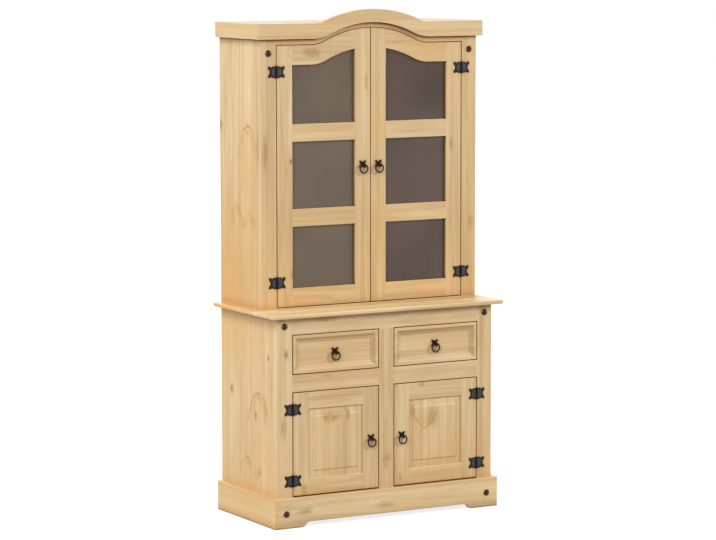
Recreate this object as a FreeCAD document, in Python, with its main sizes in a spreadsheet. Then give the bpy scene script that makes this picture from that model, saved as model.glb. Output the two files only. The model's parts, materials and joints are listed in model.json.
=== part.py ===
import FreeCAD, Part
import math
import os
import re
import Sketcher

# Pine display cabinet: a base with two drawers and two cupboards, and a glazed cabinet on top.
# All sizes are in mm. X runs to the cabinet's right, Y to its back, Z up from the ground.

sizes = {
    # Boards
    "board": 18,
    "back_board": 6,
    "frame_board": 20,
    "fit_gap": 2,
    "running_gap": 0.3,
    # Base cabinet
    "worktop_width": 1000,
    "worktop_depth": 488,
    "worktop_overhang": 33,
    "worktop_thickness": 16,
    "worktop_height": 803,
    "worktop_rounding": 5,
    "post_width": 65,
    "mid_post_width": 65,
    "top_rail_height": 64,
    "drawer_opening_height": 149,
    "drawer_rail_height": 66,
    "base_shelf_height": 310,
    "shelf_setback": 12,
    # Plinth
    "plinth_height": 114,
    "plinth_front_board": 16,
    "plinth_side_board": 19,
    "plinth_cut_height": 19,
    "plinth_foot_width": 151,
    "plinth_sweep_radius": 23,
    # Glazed cabinet
    "upper_depth": 335,
    "cabinet_height": 1870,
    "sill_height": 6.5,
    "rail_reveal": 21,
    "door_arch_rise": 61,
    "door_arch_share": 0.7638,
    "door_crown_share": 0.7447,
    "rail_crest_rise": 26,
    "rail_crest_share": 0.47,
    # Cornice
    "cornice_board": 18,
    "cornice_height": 58,
    "cornice_arch_rise": 58,
    "cornice_arch_share": 0.5156,
    "cornice_crown_share": 0.7218,
    "crest_rise": 49.5,
    "crest_share": 0.486,
    "crest_crown_share": 0.8938,
    # Doors
    "stile_width": 66,
    "glazed_bottom_rail": 70,
    "lower_pane_share": 0.329,
    "middle_pane_share": 0.3583,
    "cross_rail_height": 66.5,
    "glazed_top_rail": 74,
    "glass_thickness": 3,
    "glass_recess": 12,
    "panelled_bottom_rail": 63,
    "panelled_top_rail": 66,
    "panel_back_recess": 3,
    "panel_edge_recess": 6.5,
    "panel_bevel_rise": 2.5,
    "panel_side_bevel": 22,
    "panel_end_bevel": 28,
    "panel_shoulder": 3,
    # Drawers
    "drawer_rim": 12,
    "drawer_bevel_width": 19,
    "drawer_bevel_depth": 9,
    "drawer_side_board": 12,
    "drawer_side_inset": 4,
    "drawer_side_height": 120,
    "drawer_length": 400,
    "drawer_back_drop": 12,
    "runner_bearing": 14,
    "guide_height": 20,
    # Hinges
    "leaf_reach": 34,
    "leaf_height": 41,
    "leaf_thickness": 1.6,
    "leaf_side_scoop_radius": 14,
    "leaf_side_scoop_depth": 7,
    "leaf_edge_scoop_radius": 6.5,
    "leaf_edge_scoop_depth": 3.2,
    "leaf_edge_scoop_place": 21,
    "knuckle_diameter": 7,
    "knuckle_standoff": 4,
    "knuckle_length": 13.4,
    "pin_diameter": 4,
    "pin_clearance": 0.05,
    "pin_overhang": 1.5,
    "glazed_hinge_lift": 93,
    "glazed_hinge_drop": 98,
    "panelled_hinge_lift": 58,
    "panelled_hinge_drop": 63,
    # Ring pulls
    "plate_size": 27,
    "plate_thickness": 2,
    "plate_scoop_radius": 8,
    "plate_scoop_depth": 5,
    "boss_diameter": 14,
    "boss_height": 2.5,
    "ring_diameter": 38,
    "ring_wire": 5.2,
    "ring_standoff": 10,
    "eye_diameter": 11,
    "eye_width": 4,
    "eye_neck": 5,
    "ring_clearance": 0.4,
    "glazed_pull_share": 0.6255,
    "panelled_pull_drop": 196,
    "drawer_pull_rise": 1.5,
    # Dome nails
    "dome_diameter": 24,
    "dome_height": 6.5,
    "upper_dome_drop": 110,
    "top_rail_dome_drop": 31,
    "plinth_dome_drop": 59,
    "plinth_dome_inset": 49,
    # Shelf pins
    "shelf_pin_diameter": 6,
    "shelf_pin_reach": 12,
    "shelf_pin_inset": 40,
    "overrun": 2,
}

# Planes and lines that follow from the sizes
places = {
    # From front to back
    "back": "worktop_depth / 2",
    "base_face": "worktop_overhang - back",
    "base_frame_back": "base_face + frame_board",
    "plinth_face": "base_face - plinth_front_board",
    "upper_face": "back - upper_depth",
    "upper_frame_back": "upper_face + frame_board",
    "cornice_face": "upper_face - cornice_board",
    "back_board_face": "back - back_board",
    # From the middle outwards
    "carcass_half": "worktop_width / 2 - worktop_overhang",
    "side_inside": "carcass_half - board",
    "post_inside": "carcass_half - post_width",
    "mid_post_half": "mid_post_width / 2",
    "plinth_half": "carcass_half + plinth_side_board",
    "plinth_cut_half": "plinth_half - plinth_foot_width",
    "cornice_half": "carcass_half + cornice_board",
    "leaf_outside": "post_inside - fit_gap",
    "hinge_line": "post_inside - fit_gap / 2",
    "glazed_inside": "fit_gap / 2",
    "panelled_inside": "mid_post_half + fit_gap",
    "dome_line": "carcass_half - post_width / 2",
    # From the ground up
    "floor_top": "plinth_height",
    "worktop_underside": "worktop_height - worktop_thickness",
    "drawer_opening_top": "worktop_underside - top_rail_height",
    "drawer_opening_bottom": "drawer_opening_top - drawer_opening_height",
    "cupboard_top": "drawer_opening_bottom - drawer_rail_height",
    "panelled_bottom": "floor_top + fit_gap",
    "panelled_top": "cupboard_top - fit_gap",
    "drawer_bottom": "drawer_opening_bottom + fit_gap",
    "drawer_top": "drawer_opening_top - fit_gap",
    "sill_top": "worktop_height + sill_height",
    "upper_floor_top": "worktop_height + board",
    "top_underside": "cabinet_height - board",
    "cornice_underside": "cabinet_height - cornice_height",
    "arch_rail_underside": "cornice_underside - rail_reveal",
    "glazed_bottom": "sill_top + fit_gap",
    "glazed_shoulder": "arch_rail_underside - fit_gap",
    "lower_pane_bottom": "glazed_bottom + glazed_bottom_rail",
    "top_pane_shoulder": "glazed_shoulder - glazed_top_rail",
    "panes_height": "top_pane_shoulder - lower_pane_bottom - 2 * cross_rail_height",
    "lower_cross_rail": "lower_pane_bottom + panes_height * lower_pane_share",
    "middle_pane_bottom": "lower_cross_rail + cross_rail_height",
    "upper_cross_rail": "middle_pane_bottom + panes_height * middle_pane_share",
    "top_pane_bottom": "upper_cross_rail + cross_rail_height",
    "lower_shelf_bottom": "lower_cross_rail + (cross_rail_height - board) / 2",
    "upper_shelf_bottom": "upper_cross_rail + (cross_rail_height - board) / 2",
    # Doors and drawers
    "glazed_stile_inside": "glazed_inside + stile_width",
    "panelled_stile_inside": "panelled_inside + stile_width",
    "hinge_stile_inside": "leaf_outside - stile_width",
    "panel_bottom": "panelled_bottom + panelled_bottom_rail",
    "panel_top": "panelled_top - panelled_top_rail",
    "drawer_side_outside": "leaf_outside - drawer_side_inset",
    "drawer_side_inside": "panelled_inside + drawer_side_inset",
    "drawer_box_bottom": "drawer_opening_bottom + running_gap",
    "drawer_box_back": "base_frame_back + drawer_length",
    # Pulls
    "ring_radius": "(ring_diameter - ring_wire) / 2",
    "glazed_pull_line": "glazed_inside + stile_width / 2",
    "panelled_pull_line": "panelled_inside + stile_width / 2",
    "drawer_pull_line": "(leaf_outside + panelled_inside) / 2",
    "glazed_pull_height": "middle_pane_bottom + (upper_cross_rail - middle_pane_bottom) * glazed_pull_share",
    "panelled_pull_height": "panelled_top - panelled_pull_drop",
    "drawer_pull_height": "(drawer_bottom + drawer_top) / 2 + drawer_pull_rise",
}

word = re.compile(r"[a-z][a-z_]*")
doc = FreeCAD.newDocument("DisplayCabinet")
sheet = doc.addObject("Spreadsheet::Sheet", "Sizes")
sub_parts = []
rightwards = FreeCAD.Vector(1, 0, 0)
backwards = FreeCAD.Vector(0, 1, 0)
upwards = FreeCAD.Vector(0, 0, 1)


def fill_sheet():
    for row, (name, size) in enumerate(sizes.items(), start=1):
        sheet.set(f"A{row}", name)
        sheet.set(f"B{row}", str(size))
        sheet.setAlias(f"B{row}", name)
    doc.recompute()


def formula(text):
    # Writes the named places out in full, down to the cells of the sheet
    def full(match):
        name = match.group(0)
        if name in places:
            return "(" + formula(places[name]) + ")"
        return "Sizes." + name if name in sizes else name
    return word.sub(full, text)


def number(text):
    return float(sheet.evalExpression(formula(text)))


def bind(item, prop, text):
    item.setExpression(prop, formula(text))


def put(item, x="0", y="0", z="0"):
    bind(item, "Placement.Base.x", x)
    bind(item, "Placement.Base.y", y)
    bind(item, "Placement.Base.z", z)
    return item


def sub_part(item, name):
    item.Label = name
    sub_parts.append(item)
    return item


# Simple solids, each from its low and high ends

def block(name, x, y, z):
    item = doc.addObject("Part::Box", name)
    for prop, (low, high) in zip(("Length", "Width", "Height"), (x, y, z)):
        bind(item, prop, f"({high}) - ({low})")
    return put(item, x[0], y[0], z[0])


def turned(item, axis):
    # Turns a round solid from upright to another axis
    item.Placement = FreeCAD.Placement(FreeCAD.Vector(), FreeCAD.Rotation(upwards, axis))


def rod(name, diameter, length, start, axis):
    # A round bar from its start along one axis
    item = doc.addObject("Part::Cylinder", name)
    bind(item, "Radius", f"({diameter}) / 2")
    bind(item, "Height", length)
    turned(item, axis)
    return put(item, *start)


def taper(name, front, back, x_front, z_front, x_back, z_back):
    # A four-sided block whose front and back faces differ
    item = doc.addObject("Part::Wedge", name)
    ends = {"Xmin": x_front[0], "Xmax": x_front[1], "Zmin": z_front[0], "Zmax": z_front[1],
            "X2min": x_back[0], "X2max": x_back[1], "Z2min": z_back[0], "Z2max": z_back[1],
            "Ymin": front, "Ymax": back}
    for prop, text in ends.items():
        bind(item, prop, text)
    return item


def joined(name, *pieces):
    item = doc.addObject("Part::MultiFuse", name)
    item.Shapes = list(pieces)
    item.Refine = True
    return item


def cut(name, base, *tools):
    item = doc.addObject("Part::Cut", name)
    item.Base = base
    item.Tool = tools[0] if len(tools) == 1 else joined(name + "_tools", *tools)
    return item


def group(name, *pieces):
    # Separate solids kept in one sub-part
    item = doc.addObject("Part::Compound", name)
    item.Links = list(pieces)
    return item


def mirrored(item, name):
    # The same piece on the cabinet's right side
    other = doc.addObject("Part::Mirroring", name)
    other.Source = item
    other.Normal = rightwards
    return other


def both_sides(build, left_name, right_name):
    left = build(left_name)
    sub_part(left, left_name)
    sub_part(mirrored(left, right_name), right_name)


# Boards with a curved outline, drawn in the upright plane and padded towards the front

def arc_between(start, end, radius, bends_left):
    chord = end - start
    middle = (start + end) / 2
    rise = math.sqrt(radius ** 2 - chord.Length ** 2 / 4)
    normal = FreeCAD.Vector(-chord.y, chord.x, 0).normalize()
    centre = middle + normal * (rise if bends_left else -rise)
    first, last = (start, end) if bends_left else (end, start)
    angles = [math.atan2(point.y - centre.y, point.x - centre.x) for point in (first, last)]
    circle = Part.Circle(centre, upwards, radius)
    return Part.ArcOfCircle(circle, *angles)


def draw_outline(sketch, outline):
    # Each step is the corner's x and z, then the radius and side if an arc leaves it
    corners = [FreeCAD.Vector(number(step[0]), number(step[1]), 0) for step in outline]
    starts = []
    for index, step in enumerate(outline):
        start, end = corners[index], corners[(index + 1) % len(outline)]
        if len(step) == 2:
            sketch.addGeometry(Part.LineSegment(start, end), False)
            starts.append((1, 2))
        else:
            bends_left = step[3] == "left"
            sketch.addGeometry(arc_between(start, end, number(step[2]), bends_left), False)
            starts.append((1, 2) if bends_left else (2, 1))
    for index, step in enumerate(outline):
        following = (index + 1) % len(outline)
        start = starts[index][0]
        sketch.addConstraint(Sketcher.Constraint(
            "Coincident", index, starts[index][1], following, starts[following][0]))
        for kind, text, value in (("DistanceX", step[0], corners[index].x),
                                  ("DistanceY", step[1], corners[index].y)):
            place = sketch.addConstraint(Sketcher.Constraint(kind, -1, 1, index, start, value))
            bind(sketch, f"Constraints[{place}]", text)
        if len(step) > 2:
            curve = sketch.addConstraint(Sketcher.Constraint("Radius", index, number(step[2])))
            bind(sketch, f"Constraints[{curve}]", step[2])


def shaped_board(name, outline, rear, thickness, plane="XZ_Plane"):
    body = doc.addObject("PartDesign::Body", name)
    sketch = body.newObject("Sketcher::SketchObject", name + "_outline")
    origin_plane = next(item for item in body.Origin.OriginFeatures if item.Role == plane)
    sketch.AttachmentSupport = [(origin_plane, "")]
    sketch.MapMode = "FlatFace"
    draw_outline(sketch, outline)
    pad = body.newObject("PartDesign::Pad", name + "_pad")
    pad.Profile = sketch
    bind(pad, "Length", thickness)
    body.Tip = pad
    along = {"XZ_Plane": "y", "XY_Plane": "z"}[plane]
    return put(body, **{along: rear})


def arch(flat, rise, reach, crown_share):
    # A crown arc on the middle line that runs into a level line through a hollow arc
    radii = f"((({reach}) ^ 2 + {rise} ^ 2) / (2 * {rise}))"
    return {"flat": flat,
            "crown": f"({crown_share} * {radii})",
            "sweep": f"((1 - {crown_share}) * {radii})",
            "foot": f"({reach})",
            "turn_x": f"({reach} * {crown_share})",
            "turn_z": f"({flat} + {rise} * (1 - {crown_share}))",
            "centre": f"({flat} + {rise} - {crown_share} * {radii})"}


def arch_height(curve, x):
    return f"({curve['centre']} + sqrt({curve['crown']} ^ 2 - ({x}) ^ 2))"


def arch_rightwards(curve, x_from, x_to):
    # Corners of a whole arch, from left to right
    return [(x_from, curve["flat"]),
            (f"-{curve['foot']}", curve["flat"], curve["sweep"], "left"),
            (f"-{curve['turn_x']}", curve["turn_z"], curve["crown"], "right"),
            (curve["turn_x"], curve["turn_z"], curve["sweep"], "left"),
            (curve["foot"], curve["flat"]),
            (x_to, curve["flat"])]


def arch_leftwards(curve, x_from, x_to):
    # The same arch, drawn back from right to left
    return [(x_from, curve["flat"]),
            (curve["foot"], curve["flat"], curve["sweep"], "right"),
            (curve["turn_x"], curve["turn_z"], curve["crown"], "left"),
            (f"-{curve['turn_x']}", curve["turn_z"], curve["sweep"], "right"),
            (f"-{curve['foot']}", curve["flat"]),
            (x_to, curve["flat"])]


def half_arch(curve, opening):
    # Corners of its left half across a door's opening
    return [(opening[0], curve["flat"]),
            (f"-{curve['foot']}", curve["flat"], curve["sweep"], "left"),
            (f"-{curve['turn_x']}", curve["turn_z"], curve["crown"], "right"),
            (opening[1], arch_height(curve, opening[1]))]


def half_arch_back(curve, opening):
    return [(opening[1], arch_height(curve, opening[1]), curve["crown"], "left"),
            (f"-{curve['turn_x']}", curve["turn_z"], curve["sweep"], "right"),
            (f"-{curve['foot']}", curve["flat"]),
            (opening[0], curve["flat"])]


def door_curve(flat):
    return arch(flat, "door_arch_rise", "hinge_stile_inside * door_arch_share", "door_crown_share")


door_arch = door_curve("glazed_shoulder")
pane_arch = door_curve("top_pane_shoulder")
rail_arch = door_curve("arch_rail_underside")
cornice_arch = arch("cornice_underside", "cornice_arch_rise", "cornice_half * cornice_arch_share",
                    "cornice_crown_share")
crest_arch = arch("cabinet_height", "crest_rise", "cornice_half * crest_share", "crest_crown_share")


# Base cabinet

def make_base_sides():
    def side(name):
        return block(name, ("-carcass_half", "-side_inside"), ("base_frame_back", "back"),
                     ("0", "worktop_underside"))

    def post(name):
        return block(name, ("-carcass_half", "-post_inside"), ("base_face", "base_frame_back"),
                     ("0", "worktop_underside"))
    both_sides(side, "lower_side_left", "lower_side_right")
    both_sides(post, "lower_post_left", "lower_post_right")


def make_base_frame():
    depth = ("base_face", "base_frame_back")
    sub_part(block("lower_top_rail", ("-post_inside", "post_inside"), depth,
                   ("drawer_opening_top", "worktop_underside")), "lower_top_rail")
    sub_part(block("lower_mid_post", ("-mid_post_half", "mid_post_half"), depth,
                   ("floor_top", "drawer_opening_top")), "lower_mid_post")
    left = block("drawer_rail", ("-post_inside", "-mid_post_half"), depth,
                 ("cupboard_top", "drawer_opening_bottom"))
    sub_part(group("drawer_rails", left, mirrored(left, "drawer_rail_mirror")), "drawer_rails")


def make_base_inside():
    level = ("floor_top - board", "floor_top")
    inner = ("base_frame_back", "back_board_face")
    floor = block("floor_board", ("-side_inside", "side_inside"), inner, level)
    lip = block("floor_lip", ("-post_inside", "post_inside"), ("base_face", "base_frame_back"), level)
    sub_part(joined("lower_floor", floor, lip), "lower_floor")
    sub_part(block("lower_back", ("-side_inside", "side_inside"), ("back_board_face", "back"),
                   ("floor_top - board", "worktop_underside")), "lower_back")
    sub_part(block("centre_partition", ("-board / 2", "board / 2"), inner,
                   ("floor_top", "worktop_underside")), "centre_partition")
    shelf = block("base_shelf", ("running_gap - side_inside", "-board / 2 - running_gap"),
                  ("base_frame_back + shelf_setback", "back_board_face"),
                  ("base_shelf_height", "base_shelf_height + board"))
    sub_part(group("lower_shelves", shelf, mirrored(shelf, "base_shelf_mirror")), "lower_shelves")


def make_drawer_runners():
    # Each drawer side slides on a bearer and is kept in line by the guide on it
    inner = ("base_frame_back", "back_board_face")
    bearer = ("drawer_opening_bottom - board", "drawer_opening_bottom")
    guide = ("drawer_opening_bottom", "drawer_opening_bottom + guide_height")
    widths = {"outer": (("-side_inside", "runner_bearing - drawer_side_outside"),
                        ("-side_inside", "-drawer_side_outside - fit_gap")),
              "middle": (("-drawer_side_inside - runner_bearing", "-board / 2"),
                         ("fit_gap - drawer_side_inside", "-board / 2"))}
    runners = [joined(name + "_runner",
                      block(name + "_bearer", bearer_x, inner, bearer),
                      block(name + "_guide", guide_x, inner, guide))
               for name, (bearer_x, guide_x) in widths.items()]
    pair = group("left_runners", *runners)
    sub_part(group("drawer_runners", pair, mirrored(pair, "right_runners")), "drawer_runners")


def make_worktop():
    half, front = "worktop_width / 2", "-worktop_depth / 2"
    outline = [(f"-{half}", front), (half, front), (half, "back"), (f"-{half}", "back")]
    body = shaped_board("worktop", outline, "worktop_underside", "worktop_thickness", "XY_Plane")
    doc.recompute()
    pad = body.Tip
    half_thickness = number("worktop_thickness / 2")
    before_back = number("back") - half_thickness
    exposed = [f"Edge{place}" for place, edge in enumerate(pad.Shape.Edges, start=1)
               if edge.BoundBox.ZLength < half_thickness and edge.BoundBox.YMin < before_back]
    fillet = body.newObject("PartDesign::Fillet", "worktop_nosing")
    fillet.Base = (pad, exposed)
    bind(fillet, "Radius", "worktop_rounding")
    body.Tip = fillet
    sub_part(body, "worktop")


def make_plinth():
    # The lower edge is cut up between two feet, each with an equal round and hollow
    sweep = "plinth_sweep_radius"
    reach = f"sqrt(4 * {sweep} * plinth_cut_height - plinth_cut_height ^ 2)"
    foot = f"(plinth_cut_half + {reach})"
    turn = f"(plinth_cut_half + {reach} / 2)"
    middle = "plinth_cut_height / 2"
    outline = [("-plinth_half", "0"),
               (f"-{foot}", "0", sweep, "left"),
               (f"-{turn}", middle, sweep, "right"),
               ("-plinth_cut_half", "plinth_cut_height"),
               ("plinth_cut_half", "plinth_cut_height", sweep, "right"),
               (turn, middle, sweep, "left"),
               (foot, "0"),
               ("plinth_half", "0"),
               ("plinth_half", "plinth_height"),
               ("-plinth_half", "plinth_height")]
    sub_part(shaped_board("plinth_front", outline, "base_face", "plinth_front_board"), "plinth_front")

    def side(name):
        return block(name, ("-plinth_half", "-carcass_half"), ("base_face", "back"), ("0", "plinth_height"))
    both_sides(side, "plinth_left", "plinth_right")


# Glazed cabinet

def make_upper_sides():
    def side(name):
        return block(name, ("-carcass_half", "-side_inside"), ("upper_frame_back", "back"),
                     ("worktop_height", "top_underside"))

    def post(name):
        return block(name, ("-carcass_half", "-post_inside"), ("upper_face", "upper_frame_back"),
                     ("worktop_height", "cabinet_height"))
    both_sides(side, "upper_side_left", "upper_side_right")
    both_sides(post, "upper_post_left", "upper_post_right")


def make_upper_boards():
    inner = ("upper_frame_back", "back_board_face")
    floor = block("upper_floor_board", ("-side_inside", "side_inside"), inner,
                  ("worktop_height", "upper_floor_top"))
    sill = block("sill", ("-post_inside", "post_inside"), ("upper_face", "upper_frame_back"),
                 ("worktop_height", "sill_top"))
    sub_part(joined("upper_floor", floor, sill), "upper_floor")
    sub_part(block("upper_back", ("-side_inside", "side_inside"), ("back_board_face", "back"),
                   ("worktop_height", "top_underside")), "upper_back")
    sub_part(block("upper_top", ("-carcass_half", "carcass_half"), ("upper_frame_back", "back"),
                   ("top_underside", "cabinet_height")), "upper_top")
    shelf_x = ("running_gap - side_inside", "side_inside - running_gap")
    shelf_y = ("upper_frame_back + shelf_setback", "back_board_face")
    shelves = [block(level + "_shelf", shelf_x, shelf_y, (bottom, f"{bottom} + board"))
               for level, bottom in (("lower", "lower_shelf_bottom"), ("upper", "upper_shelf_bottom"))]
    sub_part(group("upper_shelves", *shelves), "upper_shelves")


def make_arch_rail():
    crest = "post_inside * rail_crest_share"
    crest_radius = f"((({crest}) ^ 2 + rail_crest_rise ^ 2) / (2 * rail_crest_rise))"
    outline = arch_rightwards(rail_arch, "-post_inside", "post_inside")
    outline += [("post_inside", "cabinet_height"),
                (crest, "cabinet_height", crest_radius, "left"),
                (f"-{crest}", "cabinet_height"),
                ("-post_inside", "cabinet_height")]
    sub_part(shaped_board("upper_arch_rail", outline, "upper_frame_back", "frame_board"), "upper_arch_rail")


def make_cornice():
    outline = arch_rightwards(cornice_arch, "-cornice_half", "cornice_half")
    outline += arch_leftwards(crest_arch, "cornice_half", "-cornice_half")
    sub_part(shaped_board("cornice_front", outline, "upper_face", "cornice_board"), "cornice_front")

    def side(name):
        return block(name, ("-cornice_half", "-carcass_half"), ("upper_face", "back"),
                     ("cornice_underside", "cabinet_height"))
    both_sides(side, "cornice_left", "cornice_right")


def make_shelf_pins():
    # Four pegs under each shelf, two in each upright that carries it
    pins = []
    cases = (("base", ("-side_inside", "-board / 2 - shelf_pin_reach"), "base_frame_back", "base_shelf_height"),
             ("lower", ("-side_inside",), "upper_frame_back", "lower_shelf_bottom"),
             ("upper", ("-side_inside",), "upper_frame_back", "upper_shelf_bottom"))
    for label, starts, frame_back, height in cases:
        depths = {"front": f"{frame_back} + shelf_pin_inset", "rear": "back - shelf_pin_inset"}
        for place, start in enumerate(starts):
            for end, depth in depths.items():
                pins.append(rod(f"{label}_pin_{end}_{place}", "shelf_pin_diameter", "shelf_pin_reach",
                                (start, depth, f"{height} - shelf_pin_diameter / 2"), rightwards))
    left = group("left_shelf_pins", *pins)
    sub_part(group("shelf_pins", left, mirrored(left, "right_shelf_pins")), "shelf_pins")


# Doors

def make_glazed_frame(name):
    depth = ("upper_face", "upper_frame_back")
    opening = ("-hinge_stile_inside", "-glazed_stile_inside")
    hinge_stile = block(name + "_hinge_stile", ("-leaf_outside", opening[0]), depth,
                        ("glazed_bottom", "glazed_shoulder"))
    stile_outline = [(opening[1], "glazed_bottom"), ("-glazed_inside", "glazed_bottom"),
                     ("-glazed_inside", arch_height(door_arch, "glazed_inside"), door_arch["crown"], "left"),
                     (opening[1], arch_height(door_arch, "glazed_stile_inside"))]
    meeting_stile = shaped_board(name + "_meeting_stile", stile_outline, "upper_frame_back", "frame_board")
    rails = [block(f"{name}_{rail}", opening, depth, (bottom, top)) for rail, bottom, top in (
        ("bottom_rail", "glazed_bottom", "lower_pane_bottom"),
        ("lower_cross_rail", "lower_cross_rail", "middle_pane_bottom"),
        ("upper_cross_rail", "upper_cross_rail", "top_pane_bottom"))]
    rail_outline = half_arch(pane_arch, opening) + half_arch_back(door_arch, opening)
    top_rail = shaped_board(name + "_top_rail", rail_outline, "upper_frame_back", "frame_board")
    return group(name, hinge_stile, meeting_stile, *rails, top_rail)


def make_glass(name):
    opening = ("-hinge_stile_inside", "-glazed_stile_inside")
    depth = ("upper_face + glass_recess", "upper_face + glass_recess + glass_thickness")
    panes = [block(f"{name}_{pane}", opening, depth, (bottom, top)) for pane, bottom, top in (
        ("lower", "lower_pane_bottom", "lower_cross_rail"),
        ("middle", "middle_pane_bottom", "upper_cross_rail"))]
    outline = [(opening[0], "top_pane_bottom"), (opening[1], "top_pane_bottom")]
    outline += half_arch_back(pane_arch, opening)
    top_pane = shaped_board(name + "_top", outline, depth[1], "glass_thickness")
    return group(name, *panes, top_pane)


def make_panelled_frame(name):
    depth = ("base_face", "base_frame_back")
    height = ("panelled_bottom", "panelled_top")
    opening = ("-hinge_stile_inside", "-panelled_stile_inside")
    return group(name,
                 block(name + "_hinge_stile", ("-leaf_outside", opening[0]), depth, height),
                 block(name + "_meeting_stile", (opening[1], "-panelled_inside"), depth, height),
                 block(name + "_bottom_rail", opening, depth, (height[0], "panel_bottom")),
                 block(name + "_top_rail", opening, depth, ("panel_top", height[1])))


def make_raised_panel(name):
    # A board with a flat field, a small step around it and a bevel down to its edge
    opening = ("-hinge_stile_inside", "-panelled_stile_inside")
    height = ("panel_bottom", "panel_top")
    field_x = (f"{opening[0]} + panel_side_bevel", f"{opening[1]} - panel_side_bevel")
    field_z = (f"{height[0]} + panel_end_bevel", f"{height[1]} - panel_end_bevel")
    edge = "base_face + panel_edge_recess"
    step = f"{edge} - panel_bevel_rise"
    board = block(name + "_board", opening, (edge, "base_frame_back - panel_back_recess"), height)
    bevel = taper(name + "_bevel", step, edge, field_x, field_z, opening, height)
    field = block(name + "_field", field_x, (f"{step} - panel_shoulder", step), field_z)
    return joined(name, board, bevel, field)


# Drawers

def make_drawer_front(name):
    x = ("-leaf_outside", "-panelled_inside")
    z = ("drawer_bottom", "drawer_top")
    board = block(name + "_board", x, ("base_face", "base_frame_back"), z)

    def inset(span, margin):
        return (f"{span[0]} + ({margin})", f"{span[1]} - ({margin})")
    rim = "drawer_rim"
    field = "drawer_rim + drawer_bevel_width"
    hollow = taper(name + "_hollow", "base_face", "base_face + drawer_bevel_depth",
                   inset(x, rim), inset(z, rim), inset(x, field), inset(z, field))
    return cut(name, board, hollow)


def make_drawer_box(name):
    x = ("-drawer_side_outside", "-drawer_side_inside")
    inner = (f"{x[0]} + drawer_side_board", f"{x[1]} - drawer_side_board")
    depth = ("base_frame_back", "drawer_box_back")
    height = ("drawer_box_bottom", "drawer_box_bottom + drawer_side_height")
    bottom = (height[0], f"{height[0]} + back_board")
    return group(name,
                 block(name + "_outer_side", (x[0], inner[0]), depth, height),
                 block(name + "_inner_side", (inner[1], x[1]), depth, height),
                 block(name + "_bottom", inner, depth, bottom),
                 block(name + "_back", inner, (f"{depth[1]} - drawer_side_board", depth[1]),
                       (bottom[1], f"{height[1]} - drawer_back_drop")))


# Hinges: butterfly leaves on the face, scooped between their corner claws

def make_leaf(name, face, height, on_door):
    way = 1 if on_door else -1

    def across(near, far):
        ends = (f"{near} - hinge_line", f"{far} - hinge_line")
        return ends if on_door else (f"-({far}) - hinge_line", f"-({near}) - hinge_line")
    plate_depth = (f"{face} - leaf_thickness", face)
    half = "leaf_height / 2"
    clear = "knuckle_diameter / 2 + running_gap"
    plate = block(name + "_plate", across(clear, "leaf_reach"), plate_depth,
                  (f"{height} - {half}", f"{height} + {half}"))
    scoop_start = f"{face} - leaf_thickness - overrun"
    scoop_length = "leaf_thickness + 2 * overrun"
    side_centre = "leaf_reach - leaf_side_scoop_depth + leaf_side_scoop_radius"
    edge_centre = f"{half} - leaf_edge_scoop_depth + leaf_edge_scoop_radius"
    scoops = [rod(name + "_side_scoop", "2 * leaf_side_scoop_radius", scoop_length,
                  (f"{way} * ({side_centre}) - hinge_line", scoop_start, height), backwards)]
    scoop_x = f"{way} * leaf_edge_scoop_place - hinge_line"
    scoops += [rod(f"{name}_{end}_scoop", "2 * leaf_edge_scoop_radius", scoop_length,
                   (scoop_x, scoop_start, f"{height} {sign} ({edge_centre})"), backwards)
               for end, sign in (("upper", "+"), ("lower", "-"))]
    pieces = [cut(name + "_claws", plate, *scoops)]
    tab_x = across("0", f"{clear} + running_gap")
    middle = "knuckle_length / 2"
    outer = f"{middle} + running_gap"
    spans = [(f"-({middle})", middle)] if on_door else [(f"-({half})", f"-({outer})"), (outer, half)]
    for place, (low, high) in enumerate(spans):
        bottom, top = f"{height} + {low}", f"{height} + {high}"
        pieces.append(block(f"{name}_tab_{place}", tab_x, plate_depth, (bottom, top)))
        pieces.append(rod(f"{name}_knuckle_{place}", "knuckle_diameter", f"{high} - ({low})",
                          ("-hinge_line", f"{face} - knuckle_standoff", bottom), upwards))
    bore = rod(name + "_bore", "pin_diameter + 2 * pin_clearance", "leaf_height + 2 * overrun",
               ("-hinge_line", f"{face} - knuckle_standoff", f"{height} - {half} - overrun"), upwards)
    return cut(name, joined(name + "_blank", *pieces), bore)


def make_hinge_pin(name, face, height):
    return rod(name, "pin_diameter", "leaf_height + 2 * pin_overhang",
               ("-hinge_line", f"{face} - knuckle_standoff", f"{height} - leaf_height / 2 - pin_overhang"),
               upwards)


hinge_places = {
    "upper": ("upper_face", ("glazed_bottom + glazed_hinge_lift", "glazed_shoulder - glazed_hinge_drop")),
    "lower": ("base_face", ("panelled_bottom + panelled_hinge_lift", "panelled_top - panelled_hinge_drop")),
}


def make_post_hinges():
    leaves = []
    pins = []
    for level, (face, heights) in hinge_places.items():
        for place, height in enumerate(heights):
            leaves.append(make_leaf(f"{level}_post_leaf_{place}", face, height, on_door=False))
            pins.append(make_hinge_pin(f"{level}_hinge_pin_{place}", face, height))
    left_leaves = group("left_post_leaves", *leaves)
    left_pins = group("left_hinge_pins", *pins)
    right_leaves = mirrored(left_leaves, "right_post_leaves")
    sub_part(group("hinge_post_leaves", left_leaves, right_leaves), "hinge_post_leaves")
    sub_part(group("hinge_pins", left_pins, mirrored(left_pins, "right_hinge_pins")), "hinge_pins")


def make_door_leaves(name, level):
    face, heights = hinge_places[level]
    leaves = [make_leaf(f"{name}_{place}", face, height, on_door=True) for place, height in enumerate(heights)]
    return group(name, *leaves)


# Ring pulls: a clawed plate with a boss and an eye, and a ring that swings in it

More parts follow.
